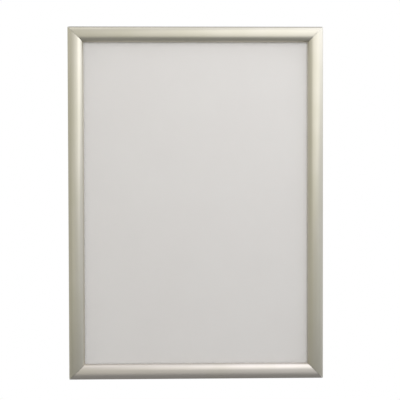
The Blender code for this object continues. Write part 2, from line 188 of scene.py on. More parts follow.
class RailSizes(bpy.types.PropertyGroup):
    bead_radius: length_prop("Bead Radius", "Bead that the lid turns on", 1.2 * MM)
    neck_thickness: length_prop("Neck Thickness", "Neck that carries the bead", 0.6 * MM)
    neck_angle: angle_prop("Neck Angle", "Slope of the neck", -45)
    floor: length_prop("Floor", "Thickness of the floor", 1.0 * MM)
    lip_thickness: length_prop("Lip Thickness", "Lips over the key channel", 0.5 * MM)
    lip_reach: length_prop("Lip Reach", "How far the lips hold over the key", 0.6 * MM)
    key_play: length_prop("Key Play", "Gap round the corner key", 0.3 * MM)
    web: length_prop("Web", "Thickness of the wall beside the poster", 0.8 * MM)
    ledge: length_prop("Ledge", "Thickness of the poster's ledge", 0.8 * MM)
    sheet_gap: length_prop("Sheet Gap", "Gap between sheets and ledge", 0.15 * MM)
    slot_depth: length_prop("Slot Depth", "Depth of the springs' slot", 0.5 * MM)
    slot_height: length_prop("Slot Height", "Width of the springs' slot", 0.8 * MM)
    slot_drop: length_prop("Slot Drop", "From the wall's head to the springs' slot", 0.5 * MM)
    hole_radius: length_prop("Hole Radius", "Fixing hole", 1.6 * MM)
    countersink: length_prop("Countersink", "Depth of the countersink", 0.8 * MM)
    head_radius: length_prop("Head Radius", "Room for the screw's head", 3.0 * MM)
    head_bite: length_prop("Head Bite", "How far that room cuts into the wall", 0.15 * MM)
    rounding: length_prop("Rounding", "Edges of the extrusion", 0.08 * MM)
    mitre_gap: length_prop("Mitre Gap", "Taken off each end at the mitre", 0.2 * MM)
    bead_steps: count_prop("Bead Steps", "Steps round the bead", 48)
    hole_steps: count_prop("Hole Steps", "Steps round the fixing hole", 64)


class FittingSizes(bpy.types.PropertyGroup):
    spring_thickness: length_prop("Spring Thickness", "Strip that a spring is cut from", 0.4 * MM)
    spring_foot: length_prop("Spring Foot", "Straight end in the slot", 0.7 * MM)
    spring_bow: angle_prop("Spring Bow", "Half the angle that a spring is bent through", 75)
    spring_corner: length_prop("Spring Corner", "Rounding of a spring's corners", 0.9 * MM)
    spring_steps: count_prop("Spring Steps", "Steps along the bow of a spring", 28)
    key_width: length_prop("Key Width", "Width of a corner key's arm", 4.4 * MM)
    key_chamfer: length_prop("Key Chamfer", "Chamfer at the ends of the arms", 0.8 * MM)
    key_steps: count_prop("Key Steps", "Steps round a key's holes", 48)
    thread_gap: length_prop("Thread Gap", "From a grub screw to its hole", 0.15 * MM)
    thread_pitch: length_prop("Thread Pitch", "Pitch of a grub screw's thread", 0.3 * MM)
    thread_depth: length_prop("Thread Depth", "Depth of a grub screw's thread", 0.18 * MM)
    thread_steps: count_prop("Thread Steps", "Steps round a grub screw", 40)
    socket_width: length_prop("Socket Width", "Hexagon socket across its flats", 1.5 * MM)
    socket_depth: length_prop("Socket Depth", "Depth of the hexagon socket", 0.8 * MM)
    stamp_rounding: length_prop("Stamp Rounding", "Rounded edges of stamped steel", 0.12 * MM)
    sheet_rounding: length_prop("Sheet Rounding", "Cut edges of the sheets", 0.06 * MM)


class Finishes(bpy.types.PropertyGroup):
    silver: color_prop("Silver", "Anodised lids", (0.585, 0.555, 0.475))
    # The bottom lid's silver is tinted cooler and redder: a painted tint that stands in for the cooler
    # light its highlights reflect
    bottom_silver: color_prop("Bottom Silver", "Bottom lid, from cooler stock", (0.596, 0.555, 0.51))
    rail_silver: color_prop("Rail Silver", "Base rails", (0.70, 0.69, 0.635))
    bare: color_prop("Bare Metal", "Sawn and worn aluminium", (0.86, 0.86, 0.84))
    zinc: color_prop("Zinc", "Corner keys", (0.66, 0.68, 0.70))
    spring: color_prop("Spring Steel", "Leaf springs", (0.46, 0.47, 0.49))
    oxide: color_prop("Black Oxide", "Grub screws", (0.045, 0.045, 0.05))
    board: color_prop("Board", "Backing panel", (0.78, 0.78, 0.765))
    paper: color_prop("Paper", "Blank insert", (0.85, 0.835, 0.81))
    film: color_prop("Film", "Matte cover sheet", (0.857, 0.834, 0.82))
    film_veil: number_prop("Film Veil", "How much of the insert the film covers", 0.3)
    floor: color_prop("Floor", "Floor of the studio", (0.50, 0.50, 0.495))
    floor_depth: number_prop("Floor Depth", "How much darker the metal sees the floor", 0.4)
    roughness: number_prop("Lid Roughness", "Satin of the lids", 0.33)


class StudioSettings(bpy.types.PropertyGroup):
    camera_right: length_prop("Camera Right", "Camera to the right of the middle", -0.0234)
    camera_distance: length_prop("Camera Distance", "Camera in front of the wall", 1.2)
    camera_height: length_prop("Camera Height", "Camera above the middle", 0.0308)
    camera_pitch: angle_prop("Camera Pitch", "Upwards", -1.27)
    camera_yaw: angle_prop("Camera Yaw", "To the right", 1.358)
    camera_roll: angle_prop("Camera Roll", "Clockwise", -0.142)
    lens: number_prop("Lens", "Focal length for a 36 mm sensor, in millimetres", 85.48)
    floor_drop: length_prop("Floor Drop", "Floor below the middle of the frame", 1.4)
    floor_radius: length_prop("Floor Radius", "Round floor", 4.5)
    floor_steps: count_prop("Floor Steps", "Steps round the floor", 96)
    key_place: place_prop("Key Place", "Middle of the key lamp", (0.25, -0.45, 0.35))
    key_power: number_prop("Key Power", "Power of the key lamp in watts", 0.27)
    key_size: length_prop("Key Size", "Diameter of the key lamp", 0.6)
    fill_place: place_prop("Fill Place", "Middle of the fill lamp", (0.1, -0.6, 0.3))
    fill_power: number_prop("Fill Power", "Power of the fill lamp in watts", 0.56)
    fill_size: length_prop("Fill Size", "Diameter of the fill lamp", 0.8)
    left_glow: number_prop("Left Glow", "Brightness added at the room's left", 0.46)
    right_glow: number_prop("Right Glow", "Brightness added at the room's right", 0.68)
    upper_glow: number_prop("Upper Glow", "Brightness added at the upper right", 1.19)
    front_glow: number_prop("Front Glow", "Brightness added behind the camera", 0.54)
    upper_blue: number_prop("Upper Blue", "How much bluer it is straight above", 0.08)
    left_tone: color_prop("Left Tone", "Tint of the room's left", (1.01, 1.0, 0.90))
    right_tone: color_prop("Right Tone", "Tint of the room's right", (0.98, 1.0, 1.05))
    back_shade: number_prop("Back Shade", "How much darker it is above and behind", 0.9)
    plain_level: number_prop("Plain Level", "Brightness of the room that the camera sees", 0.8)
    white_core: angle_prop("White Core", "How far from straight behind it is fully white", 19)
    white_rim: angle_prop("White Rim", "Where that white has faded into the room", 29)


class Section:
    """Traces the outline of a section with a pen that leaves a vertex at each stop."""

    def __init__(self, start):
        self.bm = bmesh.new()
        self.pen = self.bm.verts.new((0, *start))

    def lines(self, *stops):
        for stop in stops:
            self.pen = bmesh.ops.extrude_vert_indiv(self.bm, verts=[self.pen])["verts"][0]
            self.pen.co = (0, *stop)

    def arc(self, center, angle, steps, stretch=1.0):
        """Turn the pen round a center, on a circle that is stretched across u."""
        middle = Matrix.Translation((0, -center[0], -center[1]))
        self.pen.co.y = center[0] + (self.pen.co.y - center[0]) / stretch
        before = set(self.bm.verts)
        turned = bmesh.ops.spin(self.bm, geom=[self.pen], cent=(0, *center), axis=(1, 0, 0),
                                angle=angle, steps=steps)
        arc = [self.pen] + [vert for vert in self.bm.verts if vert not in before]
        bmesh.ops.scale(self.bm, vec=(1, stretch, 1), space=middle, verts=arc)
        self.pen = turned["geom_last"][0]

    def solid(self, start, end):
        """Close the outline and pull it out along x."""
        shift(self.bm, (start, 0, 0))
        return pulled_out(self.bm, (end - start, 0, 0))


def shift(bm, way):
    bmesh.ops.translate(bm, verts=bm.verts[:], vec=way)


def pulled_out(bm, way):
    """Close the outline that a bmesh holds, and bridge it to a copy of itself.

    An extrusion would leave its faces in another order each run, and the bevels would then differ.
    """
    bm.faces.new(bm.verts[:])
    twin = bmesh.ops.duplicate(bm, geom=bm.verts[:] + bm.edges[:] + bm.faces[:])["geom"]
    moved = [item for item in twin if isinstance(item, bmesh.types.BMVert)]
    bmesh.ops.translate(bm, verts=moved, vec=way)
    bmesh.ops.bridge_loops(bm, edges=bm.edges[:])
    bmesh.ops.recalc_face_normals(bm, faces=bm.faces[:])
    return bm


def around(center, radius, angle):
    """The point at an angle on a circle in the plane of the section."""
    return center + radius * Vector((math.cos(angle), math.sin(angle)))


def slice_off(bm, point, normal):
    """Saw the piece through a plane, and give the sawn face the second material."""
    geometry = bm.verts[:] + bm.edges[:] + bm.faces[:]
    cut = bmesh.ops.bisect_plane(bm, geom=geometry, plane_co=point, plane_no=normal, clear_outer=True)
    rim = [item for item in cut["geom_cut"] if isinstance(item, bmesh.types.BMEdge)]
    made = bmesh.ops.contextual_create(bm, geom=[edge for edge in rim if edge.is_boundary])
    for face in made["faces"]:
        face.material_index = 1


def round_edges(bm, width, segments=2):
    """Round the sharp edges, and mark the new faces as worn."""
    worn = bm.faces.layers.float.get("worn") or bm.faces.layers.float.new("worn")
    edges = [edge for edge in bm.edges if len(edge.link_faces) == 2 and edge.calc_face_angle() > SHARP]
    made = bmesh.ops.bevel(bm, geom=edges, offset=width, offset_type="OFFSET", affect="EDGES",
                           segments=segments, profile=0.5, material=-1, clamp_overlap=True)
    for face in made["faces"]:
        face[worn] = 1.0


def keep_place(bm, turn=Matrix.Identity(4)):
    """Write each vertex's place along and across its piece into an attribute for the finishes."""
    place = bm.verts.layers.float_vector.new("place")
    for vert in bm.verts:
        vert[place] = turn @ vert.co


def finished(name, bm, turn, materials, body, slot, *nodes):
    """Turn the bmesh into its place, make the piece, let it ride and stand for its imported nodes."""
    bmesh.ops.transform(bm, matrix=turn, verts=bm.verts[:])
    mesh = bpy.data.meshes.new(name)
    bm.to_mesh(mesh)
    bm.free()
    mesh.shade_smooth()
    mesh.set_sharp_from_angle(angle=SHARP)
    for material in materials:
        mesh.materials.append(material)
    piece = bpy.data.objects.new(name, mesh)
    bpy.context.scene.collection.objects.link(piece)
    if body:
        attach(piece, body)
    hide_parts(*nodes)
    return piece


def side_matrix(index):
    """From a side's own plane (x along, u inwards, w forwards) to the frame."""
    outwards = (FRAME_SIZE.x if index % 2 else FRAME_SIZE.z) / 2
    turn = Matrix.Rotation(index * QUARTER, 4, "Y")
    return turn @ Matrix.Translation((0, 0, -outwards)) @ Matrix.Rotation(QUARTER, 4, "X")


def side_length(index):
    return FRAME_SIZE.z if index % 2 else FRAME_SIZE.x


def corner_matrix(index):
    """From a corner's own plane (x and y along its two sides, z forwards) to the frame."""
    wide, high = (FRAME_SIZE.z, FRAME_SIZE.x) if index % 2 else (FRAME_SIZE.x, FRAME_SIZE.z)
    turn = Matrix.Rotation(index * QUARTER, 4, "Y")
    return turn @ Matrix.Translation((-wide / 2, 0, -high / 2)) @ Matrix.Rotation(QUARTER, 4, "X")


def lid_section(sizes):
    """Arch of two half ovals, inner lip, hook round the bead, and the lever that the springs push."""
    foot_back = COVER_FRONT + sizes.foot_gap
    foot_front = foot_back + sizes.foot_thickness
    arch_end = LID_EDGE - sizes.foot_width
    crown = Vector((arch_end * sizes.crown, PIVOT.y))
    height = LID_FRONT - PIVOT.y
    foot_angle = math.asin((foot_front - crown.y) / height)
    run = (arch_end - crown.x) / math.cos(foot_angle)
    under = height - sizes.wall
    under_run = run - sizes.wall
    under_out = crown.x - sizes.wall
    lip_start = LID_EDGE - sizes.foot_lip
    under_angle = math.acos((lip_start - crown.x) / under_run)
    hook_outer = PIVOT.x
    hook_inner = hook_outer - sizes.hook_wall

    section = Section((arch_end, foot_front))
    section.arc(crown, QUARTER - foot_angle, sizes.steps, run / height)
    section.arc(crown, QUARTER, sizes.steps, crown.x / height)
    section.arc(PIVOT, sizes.hook_end - 2 * QUARTER, sizes.end_steps)
    section.lines(around(PIVOT, hook_inner, sizes.hook_end))
    section.arc(PIVOT, sizes.hook_start - sizes.hook_end, sizes.steps)
    section.lines(around(PIVOT, hook_outer, sizes.hook_start))

    tip = PIVOT.x + sizes.lever_reach
    lip = tip - sizes.lip_width
    lever_back = PIVOT.y - sizes.lever_thickness
    lever_root = PIVOT.x + math.sqrt(hook_outer ** 2 - sizes.lever_thickness ** 2)
    section.lines(
        (lever_root, lever_back),
        (tip, lever_back),
        (tip, PIVOT.y + sizes.lip_height),
        (lip, PIVOT.y + sizes.lip_height),
        (lip, PIVOT.y),
        (PIVOT.x + hook_outer, PIVOT.y),
    )
    # The hook's outer side runs up to where it meets the under side of the arch
    meet = QUARTER
    small_turn = QUARTER / 100
    while inside_oval(around(PIVOT, hook_outer, meet), crown, under_out, under):
        meet += small_turn
    section.arc(PIVOT, meet, sizes.steps // 3)
    joint = section.pen.co
    start = math.acos((crown.x - joint.y) / under_out)
    section.arc(crown, start - QUARTER, sizes.steps, under_out / under)
    section.arc(crown, under_angle - QUARTER, sizes.steps, under_run / under)
    section.lines((lip_start, foot_back), (LID_EDGE, foot_back), (LID_EDGE, foot_front))
    return section


def inside_oval(point, center, half_width, half_height):
    across = (point.x - center.x) / half_width
    up = (point.y - center.y) / half_height
    return across ** 2 + up ** 2 < 1


def rail_section(sizes):
    """Bead on its neck, floor, key channel with lips, sprung wall, poster ledge and panel groove."""
    along = Vector((math.cos(sizes.neck_angle), math.sin(sizes.neck_angle)))
    across = Vector((-along.y, along.x)) * sizes.neck_thickness / 2
    neck = math.asin(sizes.neck_thickness / 2 / sizes.bead_radius)
    front = PIVOT + across
    back = PIVOT - across
    front_foot = front + along * (sizes.floor - front.y) / along.y
    back_foot = back - along * back.y / along.y

    channel_out = KEY_EDGE - sizes.key_play
    channel_in = KEY_EDGE + bpy.context.scene.snap_fittings.key_width + sizes.key_play
    channel_top = KEY_FRONT + sizes.key_play
    lip_out = channel_out - sizes.lip_thickness
    lip_top = channel_top + sizes.lip_thickness
    web_in = channel_in + sizes.web
    head_out = channel_in - sizes.lip_reach
    ledge_front = INSERT_BACK - sizes.sheet_gap
    groove_front = ledge_front - sizes.ledge
    slot_top = RAIL_FRONT - sizes.slot_drop
    slot_bottom = slot_top - sizes.slot_height

    section = Section(around(PIVOT, sizes.bead_radius, sizes.neck_angle + neck))
    section.arc(PIVOT, 4 * QUARTER - 2 * neck, sizes.bead_steps)
    section.lines(
        back_foot,
        (RAIL_EDGE, 0),
        (RAIL_EDGE, sizes.floor),
        (web_in, sizes.floor),
        (web_in, groove_front),
        (RAIL_EDGE, groove_front),
        (RAIL_EDGE, ledge_front),
        (web_in, ledge_front),
        (web_in, RAIL_FRONT),
        (head_out, RAIL_FRONT),
        (head_out, slot_top),
        (head_out + sizes.slot_depth, slot_top),
        (head_out + sizes.slot_depth, slot_bottom),
        (head_out, slot_bottom),
        (head_out, channel_top),
        (channel_in, channel_top),
        (channel_in, sizes.floor),
        (channel_out, sizes.floor),
        (channel_out, channel_top),
        (channel_out + sizes.lip_reach, channel_top),
        (channel_out + sizes.lip_reach, lip_top),
        (lip_out, lip_top),
        (lip_out, sizes.floor),
        front_foot,
    )
    return section


def turned_solid(profile, steps):
    """A closed solid of revolution round z, from its half profile (radius, height)."""
    bm = bmesh.new()
    points = [bm.verts.new((radius, 0, height)) for radius, height in profile]
    edges = [bm.edges.new(pair) for pair in zip(points, points[1:])]
    bmesh.ops.spin(bm, geom=points + edges, axis=(0, 0, 1), cent=(0, 0, 0), angle=4 * QUARTER,
                   steps=steps, use_merge=True)
    bmesh.ops.remove_doubles(bm, verts=bm.verts[:], dist=0.001 * MM)
    bmesh.ops.recalc_face_normals(bm, faces=bm.faces[:])
    return bm


def carved(bm, cutters, material_index):
    """Cut the cutters out of a bmesh, and give the faces that they leave a material by its number."""
    scene = bpy.context.scene
    blank = bpy.data.objects.new("blank", bpy.data.meshes.new("blank"))
    bm.to_mesh(blank.data)
    bm.free()
    scene.collection.objects.link(blank)
    tools = []
    for cutter in cutters:
        for face in cutter.faces:
            face.material_index = material_index
        tool = bpy.data.objects.new("cutter", bpy.data.meshes.new("cutter"))
        cutter.to_mesh(tool.data)
        cutter.free()
        scene.collection.objects.link(tool)
        cut = blank.modifiers.new("Cut", "BOOLEAN")
        cut.operation = "DIFFERENCE"
        cut.solver = "EXACT"
        cut.material_mode = "INDEX"
        cut.object = tool
        tools.append(tool)
    bpy.context.view_layer.update()
    result = bmesh.new()
    result.from_object(blank, bpy.context.evaluated_depsgraph_get())
    for thing in [blank, *tools]:
        bpy.data.objects.remove(thing)
    return result


class SNAPFRAME_OT_lids(bpy.types.Operator):
    """Build the four arched lids on their hinge axes"""
    bl_idname = "snapframe.lids"
    bl_label = "Snap Lids"

    def execute(self, context):
        sizes = context.scene.snap_lids
        finishes = context.scene.snap_finishes
        silver = satin_silver("satin_silver", finishes.silver, finishes)
        # The bottom lid gets its own silver, with the cooler light that it reflects painted into its colour
        # as a tint
        cooler = satin_silver("silver_painted_cool", finishes.bottom_silver, finishes)
        sawn = sawn_aluminium(finishes)
        for index, side in enumerate(SIDES):
            length = side_length(index)
            end = length / 2 - sizes.mitre_gap
            axis_end = (end - PIVOT.x, 0, 0)
            other_end = (PIVOT.x - end, 0, 0)
            bm = lid_section(sizes).solid(-length / 2, length / 2)
            # Each end is cut along the mitre of the shut lid, and then along that of the open one
            shift(bm, (0, -PIVOT.x, -PIVOT.y))
            slice_off(bm, axis_end, (1, 1, 0))
            slice_off(bm, other_end, (-1, 1, 0))
            slice_off(bm, axis_end, (1, 0, -1))
            slice_off(bm, other_end, (-1, 0, -1))
            shift(bm, (0, PIVOT.x, PIVOT.y))
            round_edges(bm, sizes.rounding)
            keep_place(bm)
            materials = [cooler if side == "bottom" else silver, sawn]
            finished(f"{side}_lid_profile", bm, side_matrix(index), materials, f"{side}_lid",
                     "lid_aluminium", f"snap_lid_{side}")
        return {"FINISHED"}


class SNAPFRAME_OT_rails(bpy.types.Operator):
    """Build the four base rails with their fixing holes"""
    bl_idname = "snapframe.rails"
    bl_label = "Base Rails"

    def execute(self, context):
        sizes = context.scene.snap_rails
        finishes = context.scene.snap_finishes
        materials = [mill_aluminium(finishes), sawn_aluminium(finishes)]
        channel_in = KEY_EDGE + context.scene.snap_fittings.key_width + sizes.key_play
        hole_place = (0, channel_in + sizes.head_bite - sizes.head_radius, 0)
        above = 2 * RAIL_FRONT
        below = -sizes.floor
        profile = [
            (0, above),
            (sizes.head_radius, above),
            (sizes.head_radius, sizes.floor),
            (sizes.hole_radius + sizes.countersink, sizes.floor),
            (sizes.hole_radius, sizes.floor - sizes.countersink),
            (sizes.hole_radius, below),
            (0, below),
        ]
        for index, side in enumerate(SIDES):
            length = side_length(index)
            end = length / 2 - sizes.mitre_gap
            bm = rail_section(sizes).solid(-length / 2, length / 2)
            slice_off(bm, (end, 0, 0), (1, 1, 0))
            slice_off(bm, (-end, 0, 0), (-1, 1, 0))
            round_edges(bm, sizes.rounding)
            drill = turned_solid(profile, sizes.hole_steps)
            shift(drill, hole_place)
            bm = carved(bm, [drill], 1)
            keep_place(bm)
            finished(f"{side}_rail_profile", bm, side_matrix(index), materials, "base",
                     "rail_aluminium", f"base_rail_{side}")
        return {"FINISHED"}


class SNAPFRAME_OT_springs(bpy.types.Operator):
    """Build the eight leaf springs, which bend between the rails and the lids"""
    bl_idname = "snapframe.springs"
    bl_label = "Leaf Springs"

    def execute(self, context):
        sizes = context.scene.snap_fittings
        rails = context.scene.snap_rails
        lids = context.scene.snap_lids
        steel = [spring_steel(context.scene.snap_finishes)]
        slot_in = SPRING_HIGH.z - CAD_LOW.z
        slot_middle = RAIL_FRONT - rails.slot_drop - rails.slot_height / 2
        seat = Vector((slot_in, slot_middle))
        bend = seat - Vector((sizes.spring_foot, 0))
        hook_side = 2 * PIVOT.x
        lip_side = PIVOT.x + lids.lever_reach - lids.lip_width
        foot = Vector(((hook_side + lip_side) / 2, PIVOT.y + rails.sheet_gap))
        chord = (bend - foot).normalized()
        bow = Vector((-chord.y, chord.x))
        half = sizes.spring_thickness / 2
        radius = (bend - foot).length / 2 / math.sin(sizes.spring_bow)
        center = (bend + foot) / 2 - bow * radius * math.cos(sizes.spring_bow)
        middle = math.atan2(bow.y, bow.x)
        width = SPRING_HIGH.x - SPRING_LOW.x
        for index, side in enumerate(SIDES):
            for number in (1, 2):
                node = f"leaf_spring_{side}_{number}"
                low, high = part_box(node)
                along = side_matrix(index).inverted() @ ((low + high) / 2)
                strip = Section(around(center, radius + half, middle + sizes.spring_bow))
                strip.arc(center, -2 * sizes.spring_bow, sizes.spring_steps)
                strip.lines(seat + Vector((0, half)), seat - Vector((0, half)),
                            around(center, radius - half, middle - sizes.spring_bow))
                strip.arc(center, 2 * sizes.spring_bow, sizes.spring_steps)
                bm = strip.solid(-width / 2, width / 2)
                corners = [edge for edge in bm.edges
                           if math.isclose(edge.calc_length(), sizes.spring_thickness, rel_tol=0.1)
                           and math.isclose(edge.calc_face_angle(), QUARTER, rel_tol=0.1)]
                bmesh.ops.bevel(bm, geom=corners, offset=sizes.spring_corner, offset_type="OFFSET",
                                affect="EDGES", segments=4, profile=0.5, material=-1)
                round_edges(bm, sizes.spring_thickness / 8)
                keep_place(bm, Matrix.Rotation(QUARTER, 4, "Z"))
                shift(bm, (along.x, 0, 0))
                piece = finished(f"{side}_spring_{number}", bm, side_matrix(index), steel, None,
                                 "zinc_steel", node)
                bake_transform(piece)
        return {"FINISHED"}


class SNAPFRAME_OT_keys(bpy.types.Operator):
    """Build the four stamped corner keys"""
    bl_idname = "snapframe.keys"
    bl_label = "Corner Keys"

    def execute(self, context):
        sizes = context.scene.snap_fittings
        zinc = [zinc_plate(context.scene.snap_finishes)]
        near = KEY_EDGE
        far = near + sizes.key_width
        tip = near + KEY_HIGH.x - KEY_LOW.x
        cut = sizes.key_chamfer
        radius = (GRUB_HIGH.x - GRUB_LOW.x) / 2 + sizes.thread_gap
        mouth = radius + sizes.stamp_rounding
        above = 2 * KEY_FRONT
        hole = [
            (0, above),
            (mouth, above),
            (mouth, KEY_FRONT),
            (radius, KEY_FRONT - sizes.stamp_rounding),
            (radius, 0),
            (0, 0),
        ]
        for index, corner in enumerate(CORNERS):
            bm = bmesh.new()
            outline = [
                (near, near), (tip - cut, near), (tip, near + cut), (tip, far - cut), (tip - cut, far),
                (far, far), (far, tip - cut), (far - cut, tip), (near + cut, tip), (near, tip - cut),
            ]
            for x, y in outline:
                bm.verts.new((x, y, KEY_BACK))
            pulled_out(bm, (0, 0, KEY_FRONT - KEY_BACK))
            round_edges(bm, sizes.stamp_rounding, segments=3)
            drills = []
            for number in (1, 2):
                low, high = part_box(f"grub_screw_{corner}_{number}")
                place = corner_matrix(index).inverted() @ ((low + high) / 2)
                drill = turned_solid(hole, sizes.key_steps)
                shift(drill, (place.x, place.y, 0))
                drills.append(drill)
            bm = carved(bm, drills, 0)
            finished(f"{corner}_key", bm, corner_matrix(index), zinc, "base", "zinc_steel",
                     f"corner_key_{corner}")
        return {"FINISHED"}


class SNAPFRAME_OT_grub_screws(bpy.types.Operator):
    """Build the eight grub screws that lock the keys"""
    bl_idname = "snapframe.grub_screws"
    bl_label = "Grub Screws"

    def execute(self, context):
        sizes = context.scene.snap_fittings
        oxide = [black_oxide(context.scene.snap_finishes)]
        radius = (GRUB_HIGH.x - GRUB_LOW.x) / 2
        length = GRUB_HIGH.y - GRUB_LOW.y
        root = radius - sizes.thread_depth
        ridges = round(length / sizes.thread_pitch) - 1
        profile = [(0, length), (root, length)]
        for ridge in range(ridges):
            top = length - (ridge + 0.5) * sizes.thread_pitch
            profile += [(radius, top), (root, top - sizes.thread_pitch / 2)]
        profile += [(root - sizes.thread_depth, 0), (0, 0)]
        # From the middle of the socket to a point of its hexagon
        point = sizes.socket_width / 2 / math.cos(math.radians(30))
        for index, corner in enumerate(CORNERS):
            for number in (1, 2):
                node = f"grub_screw_{corner}_{number}"
                low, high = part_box(node)
                place = corner_matrix(index).inverted() @ ((low + high) / 2)
                bm = turned_solid(profile, sizes.thread_steps)
                hexagon = bmesh.new()
                bmesh.ops.create_cone(hexagon, cap_ends=True, segments=6, radius1=point, radius2=point,
                                      depth=2 * sizes.socket_depth,
                                      matrix=Matrix.Translation((0, 0, length)))
                bm = carved(bm, [hexagon], 0)
                shift(bm, (place.x, place.y, place.z - length / 2))
                finished(f"{corner}_grub_{number}", bm, corner_matrix(index), oxide, "base",
                         "black_steel", node)
        return {"FINISHED"}


def flat_sheet(name, node, rounding, material, slot):
    """A flat sheet with softly cut edges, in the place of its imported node."""
    low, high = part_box(node)
    bm = bmesh.new()
    bmesh.ops.create_cube(bm, size=1, matrix=Matrix.Diagonal((*(high - low), 1)))
    round_edges(bm, rounding, segments=3)
    return finished(name, bm, Matrix.Translation((low + high) / 2), [material], "base", slot, node)


class SNAPFRAME_OT_sheets(bpy.types.Operator):
    """Build the backing panel, the blank insert and the matte cover sheet"""
    bl_idname = "snapframe.sheets"
    bl_label = "Panel, Insert and Cover"

    def execute(self, context):
        sizes = context.scene.snap_fittings
        finishes = context.scene.snap_finishes
        flat_sheet("styrene_panel", "backing_panel", 2 * sizes.sheet_rounding, styrene_board(finishes),
                   "panel_board")
        flat_sheet("blank_insert", "poster_insert", sizes.sheet_rounding, blank_paper(finishes),
                   "blank_paper")
        flat_sheet("matte_cover", "cover_sheet", sizes.sheet_rounding, matte_film(finishes), "cover_film")
        return {"FINISHED"}


class Nodes:
    """Adds nodes to a tree and joins them."""

    def __init__(self, tree):
        self.tree = tree

    def add(self, kind, inputs=None, **settings):
        """Add a node. Each input is named or numbered, and gets a value or another node's output."""
        node = self.tree.nodes.new(kind)
        for name, value in settings.items():
            setattr(node, name, value)
        for name, value in (inputs or {}).items():
            if isinstance(value, bpy.types.NodeSocket):
                self.tree.links.new(value, node.inputs[name])
            else:
                node.inputs[name].default_value = value
        return node

    def here(self):
        """The place on the object."""
        return self.add("ShaderNodeTexCoord").outputs["Object"]

    def math(self, operation, *values):
        return self.add("ShaderNodeMath", dict(enumerate(values)), operation=operation).outputs[0]

    def between(self, value, low, high):
        """Spread a value from 0 to 1 over the range from low to high."""
        return self.add("ShaderNodeMapRange", {"Value": value, "To Min": low, "To Max": high}).outputs[0]

    def soft(self, value, low, high):
        """Ease a value from 0 at low to 1 at high."""
        return self.add("ShaderNodeMapRange", {"Value": value, "From Min": low, "From Max": high},
                        interpolation_type="SMOOTHSTEP").outputs[0]

    def tone(self, first, second, share, blend="MIX"):
        """Blend two colours. A Mix node's colour sockets have the numbers 6 and 7, and 2 as output."""
        return self.add("ShaderNodeMix", {0: share, 6: first, 7: second}, data_type="RGBA",
                        blend_type=blend).outputs[2]

    def noise(self, vector, size, detail):
        inputs = {"Vector": vector, "Scale": self.math("DIVIDE", 1.0, size), "Detail": detail}
        return self.add("ShaderNodeTexNoise", inputs).outputs[0]


class Effect(Nodes):
    """A node group that every finish shares, with one size as its input and one value as its output."""

    def __init__(self, name, output):
        super().__init__(bpy.data.node_groups.new(name, "ShaderNodeTree"))
        socket = self.tree.interface.new_socket("Size", in_out="INPUT", socket_type="NodeSocketFloat")
        socket.default_value = MM
        self.tree.interface.new_socket(output, in_out="OUTPUT", socket_type="NodeSocketFloat")
        self.size = self.add("NodeGroupInput").outputs["Size"]
        self.out = self.add("NodeGroupOutput").inputs[output]

    def ends_in(self, value):
        self.tree.links.new(value, self.out)
        return self.tree


def drawn_lines():
    """Fine lines along a drawn or rolled piece, from its own place along and across."""
    made = Effect("drawn_lines", "Lines")
    place = made.add("ShaderNodeAttribute", attribute_name="place").outputs["Vector"]
    # Each line is 250 times as long as it is wide
    stretch = (0.004, 1, 1)
    pulled = made.add("ShaderNodeVectorMath", {0: place, 1: stretch}, operation="MULTIPLY").outputs[0]
    return made.ends_in(made.noise(pulled, made.size, 4.0))


def soft_patches():
    """Broad patches where a surface was handled or came out a little different."""
    made = Effect("soft_patches", "Patches")
    tone = made.noise(made.here(), made.size, 2.0)
    return made.ends_in(made.soft(tone, 0.3, 0.7))


def fine_grit():
    """Even grit of an etched, plated or moulded surface."""
    made = Effect("fine_grit", "Grit")
    return made.ends_in(made.noise(made.here(), made.size, 1.0))


def edge_wear():
    """Rounded edges where the finish is rubbed, broken up along their length."""
    made = Effect("edge_wear", "Wear")
    worn = made.add("ShaderNodeAttribute", attribute_name="worn").outputs["Fac"]
    tone = made.noise(made.here(), made.size, 3.0)
    broken = made.add("ShaderNodeMapRange", {"Value": tone, "From Min": 0.35, "From Max": 0.65}).outputs[0]
    return made.ends_in(made.math("MULTIPLY", worn, broken))


class Finish(Nodes):
    """A material that is put together from its base colour, a roughness and a relief."""

    def __init__(self, name, metallic=0.0):
        self.material = bpy.data.materials.new(name)
        self.material.use_nodes = True
        super().__init__(self.material.node_tree)
        self.shader = self.tree.nodes["Principled BSDF"]
        self.shader.inputs["Metallic"].default_value = metallic

    def effect(self, maker, size):
        group = bpy.data.node_groups.get(maker.__name__) or maker()
        return self.add("ShaderNodeGroup", {"Size": size}, node_tree=group).outputs[0]

    def mottled(self, color, tint, share):
        """A colour that is tinted in places."""
        return self.tone(shade(color), shade(color, *tint), share)

    def coat(self, color, roughness):
        self.tree.links.new(color, self.shader.inputs["Base Color"])
        self.tree.links.new(roughness, self.shader.inputs["Roughness"])

    def relief(self, height, depth, strength):
        bump = self.add("ShaderNodeBump", {"Height": height, "Distance": depth, "Strength": strength})
        self.tree.links.new(bump.outputs["Normal"], self.shader.inputs["Normal"])


def shade(color, red=1.0, green=1.0, blue=1.0):
    return (color[0] * red, color[1] * green, color[2] * blue, 1)


def satin_silver(name, silver, finishes):
    """Etched and silver anodised aluminium of the lids."""
    made = Finish(name, metallic=1.0)
    lines = made.effect(drawn_lines, 0.35 * MM)
    patches = made.effect(soft_patches, 45 * MM)
    grit = made.effect(fine_grit, 0.2 * MM)
    wear = made.effect(edge_wear, 6 * MM)
    color = made.mottled(silver, (0.965, 0.97, 0.945), patches)
    color = made.tone(color, shade(finishes.bare), made.math("MULTIPLY", wear, 0.5))
    low = finishes.roughness - 0.03
    rough = made.math("MULTIPLY_ADD", lines, 0.04, low)
    made.coat(color, made.math("MULTIPLY_ADD", patches, 0.03, rough))
    made.relief(made.math("MULTIPLY_ADD", lines, 0.5, grit), 0.02 * MM, 0.25)
    return made.material


